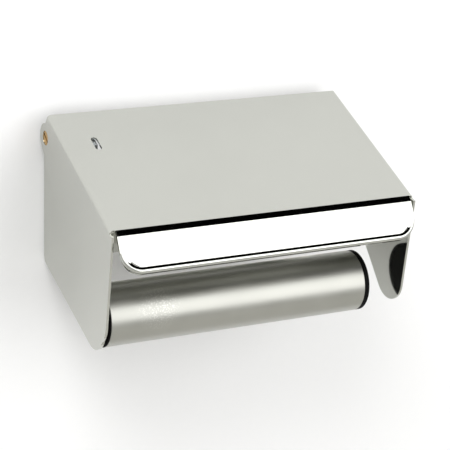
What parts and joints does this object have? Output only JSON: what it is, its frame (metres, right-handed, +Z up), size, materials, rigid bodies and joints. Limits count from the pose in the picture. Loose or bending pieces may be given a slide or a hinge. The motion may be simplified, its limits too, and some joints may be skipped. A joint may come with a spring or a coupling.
{
  "type": "toilet paper holder",
  "caption": "Wall-mounted steel toilet paper holder: hinged sloping hood with flared lip over a tube roller carried on one arm, with a small slot latch.",
  "frame": {"origin": "centre of the bracket's wall face, on the wall plane", "axes": "+Y into the wall, +X to the right of a person facing the holder, +Z up; the holder stands out towards -Y"},
  "size_m": [0.14, 0.0907, 0.087],
  "materials": {
    "polished_steel": "polished stainless steel sheet",
    "satin_steel": "satin stainless steel",
    "zinc_steel": "zinc-plated steel",
    "spring_steel": "bare spring steel",
    "blackened_steel": "blackened steel",
    "brass": "plain brass",
    "black_plastic": "black moulded plastic",
    "nylon": "natural nylon"
  },
  "bodies": {
    "frame": {"bracket": "satin_steel", "hinge_screw_left": "brass", "hinge_screw_right": "brass", "hinge_washer_left": "nylon", "hinge_washer_right": "nylon", "hinge_lock_washer_left": "spring_steel", "hinge_lock_washer_right": "spring_steel", "hinge_nut_left": "zinc_steel", "hinge_nut_right": "zinc_steel", "spindle": "zinc_steel", "spindle_washer": "zinc_steel", "thrust_washer": "nylon", "retaining_ring": "spring_steel", "latch_bracket": "zinc_steel", "latch_pin": "zinc_steel"},
    "hood": {"hood": "polished_steel", "latch_keeper": "blackened_steel"},
    "roller": {"roller_tube": "satin_steel", "end_cap_left": "black_plastic", "end_cap_right": "black_plastic"},
    "lever": {"latch_lever": "zinc_steel", "latch_spring": "spring_steel"}
  },
  "joints": [
    {"name": "hood_hinge", "type": "hinge", "parent": "frame", "child": "hood", "pos_m": [0, -0.0069, 0.02625], "axis": [-1, 0, 0], "range_deg": [0, 48]},
    {"name": "roller_spin", "type": "hinge", "parent": "frame", "child": "roller", "pos_m": [0, -0.06, -0.036], "axis": [1, 0, 0], "continuous": true},
    {"name": "latch_release", "type": "hinge", "parent": "frame", "child": "lever", "pos_m": [-0.0557, -0.024, 0.002], "axis": [-1, 0, 0], "range_deg": [0, 6], "stiffness_Nm_per_rad": 0.6}
  ]
}
